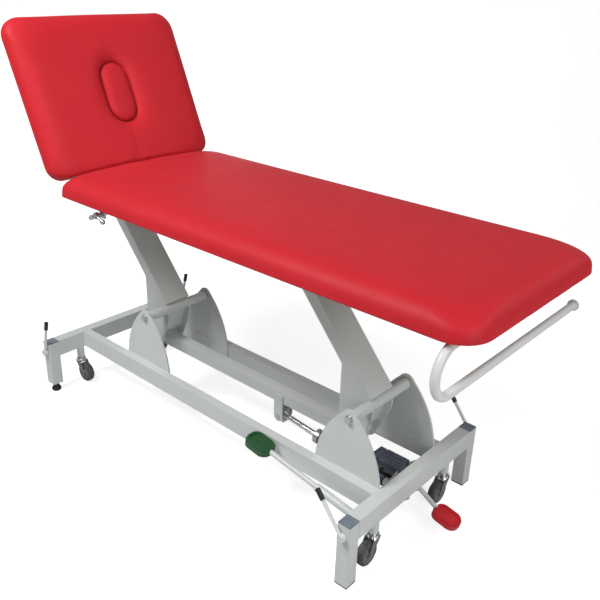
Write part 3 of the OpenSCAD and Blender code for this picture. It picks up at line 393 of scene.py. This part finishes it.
def slot_ray(dx, dy, hl, r):
    """Where a ray from a slot's centre leaves the slot."""
    n = math.hypot(dx, dy)
    dx, dy = dx / n, dy / n
    near, far = 0.0, hl + r + 0.01
    for _ in range(30):
        t = (near + far) / 2
        inside = math.hypot(max(abs(dx * t) - hl, 0.0), dy * t) < r
        near, far = (t, far) if inside else (near, t)
    return dx * near, dy * near


def ironed(mesh, moves, rounds):
    """Averages each vertex's move with its neighbours', so that no crease of the cloth run is left."""
    edges = np.array([e.vertices[:] for e in mesh.edges])
    count = np.zeros(len(moves))
    np.add.at(count, edges.ravel(), 1)
    still = np.linalg.norm(moves, axis=1) < 1e-5
    for _ in range(rounds):
        total = np.zeros_like(moves)
        np.add.at(total, edges[:, 0], moves[edges[:, 1]])
        np.add.at(total, edges[:, 1], moves[edges[:, 0]])
        moves = 0.5 * moves + 0.5 * total / count[:, None]
        moves[still] = 0.0
    return moves


PRESSURE = 4.0
CLOTH_FRAMES = 18
IRONING = 40                    # rounds of averaging


def swell(ob, pinned, cap):
    """Pressure cloth run with the pinned vertices held, kept within cap, then one subdivision."""
    start = [v.co.copy() for v in ob.data.vertices]
    g = ob.vertex_groups.new(name="pin")
    for i, p in enumerate(start):
        w = pinned(p)
        if w > 0:
            g.add([i], w, "REPLACE")
    cloth = ob.modifiers.new("cloth", "CLOTH")
    st = cloth.settings
    st.vertex_group_mass = "pin"
    st.use_pressure = True
    st.uniform_pressure_force = PRESSURE
    st.effector_weights.gravity = 0.0
    st.quality = 4
    st.mass = 0.25
    st.tension_stiffness = st.compression_stiffness = 18
    st.bending_stiffness = 2.0
    cloth.collision_settings.use_collision = False
    cloth.point_cache.frame_start = 1
    cloth.point_cache.frame_end = CLOTH_FRAMES
    for f in range(1, CLOTH_FRAMES + 1):
        bpy.context.scene.frame_set(f)
    ev = ob.evaluated_get(bpy.context.evaluated_depsgraph_get())
    ends = [v.co.copy() for v in ev.to_mesh().vertices]
    ev.to_mesh_clear()
    ob.modifiers.clear()
    bpy.context.scene.frame_set(1)
    moves = np.array([b - a for a, b in zip(start, ends)])
    size = np.linalg.norm(moves, axis=1)
    moves *= np.minimum(1.0, cap / np.maximum(size, 1e-9))[:, None]
    ob.vertex_groups.clear()
    moves = ironed(ob.data, moves, IRONING)
    for v, a, m in zip(ob.data.vertices, start, moves):
        v.co = a + Vector(m)
    sub = ob.modifiers.new("sub", "SUBSURF")
    sub.levels = sub.render_levels = 1
    settle(ob)


def turned(ob, matrix):
    """Moves a new object's own mesh; CAD objects are never passed here."""
    ob.data.transform(matrix)
    ob.data.update()


# ---------------------------------------------------------------- upholstery
# A pad's cover from its hem under the board, round a short roll and up a long shoulder to the crown.
# Each ring is (inset, height above the board's underside) in mm.
SHOULDER_Z, SHOULDER_IN, SHOULDER_UP = 10, 70, 53.4
FULL = 2 / 2.3                  # power that makes the shoulder fuller than an ellipse
ROLL = [(40, 0.8), (12, 0.8), (7, 1.1), (3.8, 2.3), (1.7, 4.3), (0.4, 7.2)]
SHOULDER = [(SHOULDER_IN * (1 - math.cos(math.radians(a)) ** FULL),
             SHOULDER_Z + SHOULDER_UP * math.sin(math.radians(a)) ** FULL)
            for a in (0, 3, 8, 16, 25, 35, 47, 60, 74, 90)]
CROWN = [(84, 63.9), (98, 64.3), (125, 64.7), (170, 64.9), (215, 65), (255, 65), (290, 65)]
HINGE_R = 19                    # rounding of the edge that faces the other pad, much tighter
HINGE_TOP = 64                  # height at which that rounding ends
HINGE_FLAT = 63.3               # from this height on the hinge edge follows the rings inward
HINGE_STAY = 140                # but only those that are inset by more than this
SHY = 2.0                       # the shapes start this much small and swell back
PAD_SWELL, PLUG_SWELL = 4 * MM, 2.5 * MM    # most that any point of a cover may swell


def hinge_inset(d, h):
    """How far a ring stands in from the hinge edge, in mm."""
    rise = min(h, HINGE_FLAT) - (HINGE_TOP - HINGE_R)
    bend = HINGE_R - math.sqrt(HINGE_R ** 2 - rise ** 2) if rise > 0 else 0.0
    if h < SHOULDER_Z:
        return d * 0.6
    return bend + (max(0.0, d - HINGE_STAY) if h >= HINGE_FLAT else 0.0)


def pull(x, y, h):
    """Fullness of the cover near its hem, where it is pulled round the board, in mm."""
    s = x * 61 + y * 47
    return 0.45 * math.exp(-((h - 12) / 9) ** 2) * (math.sin(s) + 0.6 * math.sin(2.3 * s + 1.1))


def pad_ring(box, d, h, hinge_at_x0, steps=SIDE):
    """One ring of a pad, with its height.

    box is (x0, x1, half width, radius at x0, radius at x1, underside).
    """
    x0, x1, hw, r0, r1, z0 = box
    shy = SHY if h > 5 else 0.0
    top = h - shy * max(0.0, min(1.0, (h - 25) / 30))
    inset = d + shy * max(0.0, 1 - d / 60)
    near = hinge_inset(d, h) + shy
    ends = (near, inset) if hinge_at_x0 else (inset, near)
    ring = outline(x0, x1, hw, r0, r1, ends[0] * MM, ends[1] * MM, inset * MM, steps)
    cx = (x0 + x1) / 2
    out = []
    for x, y in ring:
        k = pull(x, y, h) * MM
        n = math.hypot(x - cx, y)
        out.append((x + (x - cx) / n * k, y + y / n * k, z0 + top * MM))
    return out


def pin_low(z0):
    """Weights that hold a cover at its hem and free it higher up."""
    return lambda p: max(0.0, min(1.0, 1 - (p.z - z0 - 4 * MM) / (14 * MM)))


# Corner radii at the head-side and the foot-side end, in metres
MAIN_R, BACK_R = (0.030, 0.085), (0.065, 0.050)
lo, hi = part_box("main_pad")
main_box = (lo.x, hi.x, hi.y, *MAIN_R, lo.z)
main_rings = [pad_ring(main_box, d, h, True) for d, h in ROLL + SHOULDER + CROWN]
main_cover = new_object("main_pad_cover", *loft(main_rings), "upholstery_red", "top", "upholstery_red")
swell(main_cover, pin_low(lo.z), PAD_SWELL)
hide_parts("main_pad")

# The backrest is built flat and turned about its hinge into the rest pose
hinge = joints["backrest_hinge"]
pivot = Vector(hinge["pos_m"])
raised_by = -math.radians(hinge["range_deg"][0])
raise_back = Matrix.Translation(pivot) @ Matrix.Rotation(raised_by, 4, "Y") @ Matrix.Translation(-pivot)


def flat_box(node):
    """Lowest and highest corners of a backrest node with the backrest laid flat."""
    pts = [raise_back.inverted() @ q.co for q in nodes[node].data.vertices]
    return [Vector([f(p[k] for p in pts) for k in range(3)]) for f in (min, max)]


blo, bhi = flat_box("backrest_pad")
plo, phi = flat_box("face_plug")
plug_x, plug_len, plug_w = (plo.x + phi.x) / 2, phi.x - plo.x, phi.y - plo.y
hole_half = (plug_len - plug_w) / 2     # from the hole's middle to the middle of its round ends
HEAD_ROOM = 4 * MM              # the cover starts this much beyond the CAD pad's head end
back_box = (blo.x - HEAD_ROOM, bhi.x, bhi.y, *BACK_R, blo.z)
rings = [pad_ring(back_box, d, h, False, BACK_SIDE) for d, h in ROLL[1:] + SHOULDER + CROWN[:2]]
rim = rings[-1]
# From the crown down into the breathing hole: (distance outside the hole's wall, height) in mm
DIP = [(72, 64.2), (54, 63.7), (40, 62.5), (29, 60.6), (20, 58.0), (13, 54.9), (7.5, 51.3),
       (3.6, 47.6), (1.2, 43.5), (0.2, 38), (0, 30), (0, 14), (14, 13)]
for d, h in DIP:
    ring = []
    for x, y, _ in rim:
        wall = slot_ray(x - plug_x, y, hole_half, plug_w / 2 + 0.8 * MM)
        n = math.hypot(*wall)
        reach = math.hypot(x - plug_x, y) - n
        t = min(d * MM, reach * 0.93)
        k = (n + t) / n
        ring.append((plug_x + wall[0] * k, wall[1] * k, blo.z + h * MM))
    # the outer rings are rounded off where the hole's ends meet its sides
    for _ in range(int(d / 2.5)):
        ring = [tuple((a + 2 * b + c) / 4 for a, b, c in zip(ring[i - 1], ring[i], ring[(i + 1) % len(ring)]))
                for i in range(len(ring))]
    rings.append(ring)
hem = pad_ring(back_box, 40, 1, False, BACK_SIDE)
rings.append([(x, y, blo.z + 13 * MM) for x, y, _ in hem])
rings.append(hem)
back_cover = new_object("backrest_cover", *loft(rings, loop=True),
                        "upholstery_red", "backrest", "upholstery_red")


def pin_back(p):
    """Weights that hold the backrest's cover at its hem and round the breathing hole."""
    hole = math.hypot(max(abs(p.x - plug_x) - hole_half, 0.0), p.y) - plug_w / 2
    return max(pin_low(blo.z)(p), 1.0 if hole < 3 * MM else max(0.0, 1 - (hole - 3 * MM) / (12 * MM)))


swell(back_cover, pin_back, PAD_SWELL)
turned(back_cover, raise_back)
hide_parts("backrest_pad")

# Plug: a small domed cushion, a little proud of the dip around it; (inset, height) in mm
PLUG = [(30, 2), (6, 2), (2, 3.5), (0.3, 7), (0, 14), (0, 30), (0, 40), (0.5, 46), (2, 50.6), (5, 54.6),
        (10, 57.8), (17, 60), (26, 61.2), (36, 61.7), (44, 61.9)]
PLUG_STEPS = 96
PLUG_SHY = 1.2                  # its top starts this much low and swells back
rings = []
for d, h in PLUG:
    r = plug_w / 2 - d * MM
    ring = []
    for k in range(PLUG_STEPS):
        a = 2 * math.pi * k / PLUG_STEPS
        x, y = slot_ray(math.cos(a) * plug_len, math.sin(a) * plug_w, hole_half, r)
        ring.append((plug_x + x, y, blo.z + (h - (PLUG_SHY if h > 40 else 0)) * MM))
    rings.append(ring)
plug_cover = new_object("face_plug_cover", *loft(rings, end=0), "plug_red", "face_plug", "plug_red")


def pin_plug(p):
    """Weights that hold the plug's lower part and free its top."""
    return max(0.0, min(1.0, 1 - (p.z - blo.z - 30 * MM) / (10 * MM)))


swell(plug_cover, pin_plug, PLUG_SWELL)
turned(plug_cover, raise_back)
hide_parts("face_plug")

# ---------------------------------------------------------------- trimming of the pads
STRIP_IN = 40                   # how far the cover is wrapped under the board, in mm
STRIP_UP = 0.6                  # height inside the board where the frame lies under it, in mm
# Section of the wrapped strip: (inset, height above the board's underside) in mm
WRAP = [(4.6, 3.2), (5.6, 0.8), (8.5, -1.0), (13, -1.35), (24, -1.3), (STRIP_IN - 1, -1.1),
        (STRIP_IN, -0.5), (STRIP_IN - 1, 0.25), (20, 0.3), (10, 1.6)]
# Staples: inset, spacing, half length, half the wire's width and depth under the board, in metres
STAPLE_IN, STAPLE_PITCH, STAPLE_HALF = 30 * MM, 34 * MM, 5 * MM
STAPLE_WIRE, STAPLE_LOW = 0.55 * MM, 1.9 * MM
RAIL_LOW, RAIL_HIGH = 44 * MM, 114 * MM     # across the top frame's rails, with a margin
CROSS_HALF = 230 * MM           # half length of its cross member, with a margin
HINGE_ZONE = 62 * MM            # how far in from a hinge edge the frame reaches


def over_frame(box, hinge_at_x0, x, y):
    """Whether the frame lies under this place, near the hinge edge.

    There the turned-in strip is raised into the board, out of sight, and has no staples.
    """
    if hinge_at_x0:
        return x < box[0] + HINGE_ZONE and abs(y) < CROSS_HALF
    return x > box[1] - HINGE_ZONE and RAIL_LOW < abs(y) < RAIL_HIGH


def wrapped_edge(name, box, hinge_at_x0, body, to_world):
    """The cover's turned-in edge under the board, gathered at the corners and cut a little unevenly."""
    rings = []
    for d, h in WRAP:
        ends = (0.75 * d * MM, d * MM) if hinge_at_x0 else (d * MM, 0.75 * d * MM)
        ring = outline(*box[:5], *ends, d * MM)
        cx = (box[0] + box[1]) / 2
        out = []
        for k, (x, y) in enumerate(ring):
            ragged = (d / STRIP_IN) ** 2 * (1.1 * math.sin(0.9 * k) + 0.8 * math.sin(2.17 * k + 1)) * MM
            ruck = 0.22 * MM * (d / STRIP_IN) * math.sin(1.9 * k) if h < 0 else 0.0
            n = math.hypot(x - cx, y)
            raised = h < STRIP_UP and over_frame(box, hinge_at_x0, x, y)
            z = STRIP_UP * MM if raised else h * MM + ruck
            out.append((x - (x - cx) / n * ragged, y - y / n * ragged, box[5] + z))
        rings.append(out)
    ob = new_object(name, *loft(rings, loop=True), "upholstery_red", body, "upholstery_red")
    turned(ob, to_world)


def staples(name, box, hinge_at_x0, body, to_world):
    """Wire staples along the wrapped edge, each a flat crown with short legs into the board."""
    ring = outline(*box[:5], STAPLE_IN, STAPLE_IN, STAPLE_IN)
    half, wire, z = STAPLE_HALF, STAPLE_WIRE, box[5] - STAPLE_LOW
    thick = Vector((0, 0, wire))
    leg, shoulder = Vector((0, 0, 2.0 * MM)), Vector((0, 0, 0.4 * MM))
    verts, faces, run = [], [], 0.0
    for k in range(len(ring)):
        (ax, ay), (bx, by) = ring[k], ring[(k + 1) % len(ring)]
        run += math.hypot(bx - ax, by - ay)
        if run < STAPLE_PITCH:
            continue
        run = 0.0
        if over_frame(box, hinge_at_x0, ax, ay):
            continue
        t = math.atan2(by - ay, bx - ax) + random.uniform(-0.22, 0.22)
        u, w = Vector((math.cos(t), math.sin(t), 0)), Vector((-math.sin(t), math.cos(t), 0))
        c = Vector((ax, ay, z))
        inner = u * (half - 0.5 * MM)
        # path of the wire: leg, shoulder, crown, shoulder, leg
        path = [c - u * half + leg, c - u * half + shoulder, c - inner,
                c + inner, c + u * half + shoulder, c + u * half + leg]
        base = len(verts)
        for p in path:
            verts += [p + w * wire + thick, p - w * wire + thick, p - w * wire - thick, p + w * wire - thick]
        for i in range(len(path) - 1):
            o = base + 4 * i
            faces += [(o + q, o + (q + 1) % 4, o + 4 + (q + 1) % 4, o + 4 + q) for q in range(4)]
        last = base + 4 * (len(path) - 1)
        faces += [(base + 3, base + 2, base + 1, base), (last, last + 1, last + 2, last + 3)]
    ob = new_object(name, verts, faces, "zinc_steel", body, "zinc_steel")
    ob.data.shade_flat()
    turned(ob, to_world)


as_built = Matrix.Identity(4)
wrapped_edge("main_pad_wrap", main_box, True, "top", as_built)
staples("main_pad_staples", main_box, True, "top", as_built)
wrapped_edge("backrest_wrap", back_box, False, "backrest", raise_back)
staples("backrest_staples", back_box, False, "backrest", raise_back)


# ---------------------------------------------------------------- weld beads
BEAD_SIDES = 8
welds = {}                      # each body's beads, as (vertices, faces)


def bead(points, radius, body):
    """Rippled fillet weld along a polyline; radius in mm."""
    pts = [Vector(p) for p in points]
    path = [pts[0]]
    for p, q in zip(pts, pts[1:]):
        steps = max(2, int((q - p).length / (1.6 * MM)))
        path += [p.lerp(q, k / steps) for k in range(1, steps + 1)]
    verts, faces = [], []
    for i, p in enumerate(path):
        t = (path[min(i + 1, len(path) - 1)] - path[max(i - 1, 0)]).normalized()
        a = t.cross(Vector((0.31, 0.52, 0.79))).normalized()
        b = t.cross(a)
        r = radius * MM * (0.82 + 0.18 * abs(math.sin(i * 0.9))) * (0.45 if i in (0, len(path) - 1) else 1)
        for k in range(BEAD_SIDES):
            turn = math.tau * k / BEAD_SIDES
            verts.append(p + a * r * math.cos(turn) + b * r * math.sin(turn))
    last = BEAD_SIDES * (len(path) - 1)
    for o in range(0, last, BEAD_SIDES):
        around = [(o + k, o + (k + 1) % BEAD_SIDES) for k in range(BEAD_SIDES)]
        faces += [(p, q, q + BEAD_SIDES, p + BEAD_SIDES) for p, q in around]
    faces += [tuple(range(BEAD_SIDES))[::-1], tuple(last + k for k in range(BEAD_SIDES))]
    welds.setdefault(body, []).append((verts, faces))


# Sizes of the CAD frame that the welds follow
RAIL_OUT, RAIL_IN, FIN_IN = 168 * MM, 138 * MM, 132 * MM
BEAM_W, BEAM_H, LEG_W = 40 * MM, 60 * MM, 40 * MM
FIN_R, FIN_OFFSET = 295 * MM, 179 * MM
ARM_LEAN, LEAF_Y, LEAF_T, SHAFT_R, ARM_FOOT = 40.9, 50 * MM, 6 * MM, 17 * MM, 15 * MM
FOOT_HALF = 46 * MM             # half length of the bead across an arm's foot

pivots = [Vector(joints[j]["pos_m"]) for j in ("lift", "foot_arm_pivot")]
cap_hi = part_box("leg_caps")[1]
beam_top, beam_out = cap_hi.z, cap_hi.x
beam_in, leg_in = beam_out - BEAM_W, cap_hi.y - LEG_W
low, high = beam_top - BEAM_H, beam_top - 4 * MM
for sx in (-1, 1):
    for sy in (-1, 1):
        # side rails to beams, beams to legs
        for y in (RAIL_OUT, RAIL_IN):
            bead([(sx * beam_in, sy * y, low + 5 * MM), (sx * beam_in, sy * y, high)], 1.6, "base")
        bead([(sx * beam_in, sy * (RAIL_IN + 2 * MM), beam_top),
              (sx * beam_in, sy * (RAIL_OUT - 2 * MM), beam_top)], 1.3, "base")
        for x in (beam_in, beam_out):
            bead([(sx * x, sy * leg_in, low + 4 * MM), (sx * x, sy * leg_in, high)], 1.5, "base")
        bead([(sx * beam_in, sy * leg_in, low), (sx * beam_out, sy * leg_in, low)], 1.4, "base")
fin_half = math.sqrt(FIN_R ** 2 - (pivots[0].z - beam_top) ** 2) - FIN_OFFSET - 4 * MM
for p in pivots:
    for sy in (-1, 1):
        # fins to the tops of the rails, on both faces
        for y in (FIN_IN, RAIL_IN):
            bead([(p.x - fin_half, sy * y, beam_top), (p.x + fin_half, sy * y, beam_top)], 1.7, "base")
lean = math.radians(ARM_LEAN)
along = Vector((-math.sin(lean), 0, math.cos(lean)))
across = Vector((math.cos(lean), 0, math.sin(lean)))
half_foot = Vector((0, FOOT_HALF, 0))
reach = math.sqrt(SHAFT_R ** 2 - ARM_FOOT ** 2)
round_shaft = [math.radians(a) for a in range(128, 313, 8)]
for body, p in zip(("head_arm", "foot_arm"), pivots):
    for side in (-1, 1):
        # the closed foot of the box tube down on to the pivot shaft
        foot = p + across * side * (reach + 0.6 * MM) + along * (ARM_FOOT - 0.4 * MM)
        bead([foot - half_foot, foot + half_foot], 1.6, body)
        # the leaves to the back of the shaft
        for y in (LEAF_Y, LEAF_Y - LEAF_T):
            arc = [p + Vector((SHAFT_R * math.cos(a), side * y, SHAFT_R * math.sin(a))) for a in round_shaft]
            bead(arc, 1.2, body)
for body, parts in welds.items():
    verts, faces = [], []
    for vs, fs in parts:
        faces += [tuple(len(verts) + i for i in f) for f in fs]
        verts += vs
    new_object("welds_" + body, verts, faces, "frame_paint", body, "frame_paint")

# ---------------------------------------------------------------- camera, light, floor
cam_data = bpy.data.cameras.new("camera")
cam = bpy.data.objects.new("camera", cam_data)
bpy.context.scene.collection.objects.link(cam)
# Direction from the couch, place in metres and lens that match the photo
CAM_AZ, CAM_EL, CAM_ROLL = 41.14, 24.42, 1.74
CAM_PLACE = (1.5677, -1.5036, 1.4921)
CAM_LENS, CAM_SENSOR = 44.292, 36.0
az, el, roll = (math.radians(a) for a in (CAM_AZ, CAM_EL, CAM_ROLL))
back = Vector((math.sin(az) * math.cos(el), -math.cos(az) * math.cos(el), math.sin(el)))
right = (-back).cross(Vector((0, 0, 1))).normalized()
up = right.cross(-back)
rolled_right = right * math.cos(roll) + up * math.sin(roll)
rolled_up = -right * math.sin(roll) + up * math.cos(roll)
cam_frame = Matrix((rolled_right, rolled_up, back)).transposed().to_4x4()
cam_frame.translation = Vector(CAM_PLACE)
cam.matrix_world = cam_frame
cam_data.sensor_width = CAM_SENSOR
cam_data.lens = CAM_LENS
cam_data.clip_end = 60
bpy.context.scene.camera = cam


def area(name, loc, target, size, power, spread=180):
    """Square area light at loc that faces target; size in metres, power in watts, spread in degrees."""
    d = bpy.data.lights.new(name, "AREA")
    d.energy = power
    d.size = size
    d.spread = math.radians(spread)
    o = bpy.data.objects.new(name, d)
    bpy.context.scene.collection.objects.link(o)
    o.location = loc
    o.rotation_euler = (Vector(target) - Vector(loc)).to_track_quat("-Z", "Y").to_euler()


area("key", (-0.6, -2.0, 3.3), (0.1, 0, 0.4), 1.2, 106)
area("foot_high", (2.9, -0.5, 2.6), (0.2, 0, 0.8), 1.4, 17)
area("foot_low", (3.2, -0.9, 1.3), (0.2, 0, 0.7), 1.4, 27)
area("on_backrest", (2.3, -0.9, 2.5), (-0.65, 0, 1.12), 0.9, 1.0, 34)
area("foot_rim", (2.1, 1.7, 2.4), (0.9, 0, 0.85), 1.6, 12)
area("back_fill", (-2.8, 2.2, 0.6), (0, 0, 0.6), 1.1, 11)
WORLD_LIGHT, WORLD_SEEN = 0.11, 0.95    # dim as a light, white to the camera
FLOOR_SEEN = 0.74               # the floor's glow to the camera, which doesn't light the couch
world = bpy.data.worlds.new("studio")
bpy.context.scene.world = world
world.use_nodes = True
background = world.node_tree.nodes["Background"]
background.inputs["Color"].default_value = (1.0, 1.0, 1.0, 1.0)
to_camera = world.node_tree.nodes.new("ShaderNodeLightPath").outputs["Is Camera Ray"]
glow = world.node_tree.nodes.new("ShaderNodeMapRange")
glow.inputs["To Min"].default_value = WORLD_LIGHT
glow.inputs["To Max"].default_value = WORLD_SEEN
world.node_tree.links.new(to_camera, glow.inputs["Value"])
world.node_tree.links.new(glow.outputs["Result"], background.inputs["Strength"])

# Seamless floor that curves up into a backdrop, in metres along the camera's direction and up
FLOOR_NEAR, FLOOR_FAR, CURVE_R, BACKDROP_TOP = -6.0, 2.2, 1.6, 6.0
FLOOR_HALF, FLOOR_STEPS = 7, 12
section = [(FLOOR_NEAR, 0.0), (FLOOR_FAR, 0.0)]
for a in (math.radians(a) for a in range(10, 91, 8)):
    section.append((FLOOR_FAR + CURVE_R * math.sin(a), CURVE_R - CURVE_R * math.cos(a)))
section.append((FLOOR_FAR + CURVE_R, BACKDROP_TOP))
away = Vector((-math.sin(az), math.cos(az), 0))
sideways = Vector((math.cos(az), math.sin(az), 0))
floor_verts, floor_faces = [], []
for t, z in section:
    for k in range(FLOOR_STEPS + 1):
        p = away * t + sideways * (-FLOOR_HALF + 2 * FLOOR_HALF * k / FLOOR_STEPS)
        floor_verts.append((p.x, p.y, z))
row = FLOOR_STEPS + 1
for i in range(len(section) - 1):
    for k in range(FLOOR_STEPS):
        o = i * row + k
        floor_faces.append((o, o + 1, o + row + 1, o + row))
floor_mesh = bpy.data.meshes.new("floor")
floor_mesh.from_pydata(floor_verts, [], floor_faces)
floor_mesh.shade_smooth()
floor = bpy.data.objects.new("floor", floor_mesh)
bpy.context.scene.collection.objects.link(floor)
n = Net("floor_paper")
paper = n.mix(n.remap(n.noise(1.4, 3.0), 0.3, 0.7, 0.0, 1.0), (0.62, 0.62, 0.62), (0.65, 0.65, 0.65))
floor_glow = n.add("ShaderNodeLightPath").outputs["Is Camera Ray"]
floor_mesh.materials.append(n.finish(paper, 0.7, n.bump(n.noise(120.0, 3.0), 0.05, 0.0005),
                                     Emission_Color=(1.0, 1.0, 1.0, 1.0),
                                     Emission_Strength=n.math("MULTIPLY", floor_glow, FLOOR_SEEN)))
bpy.context.scene.view_settings.view_transform = "Standard"
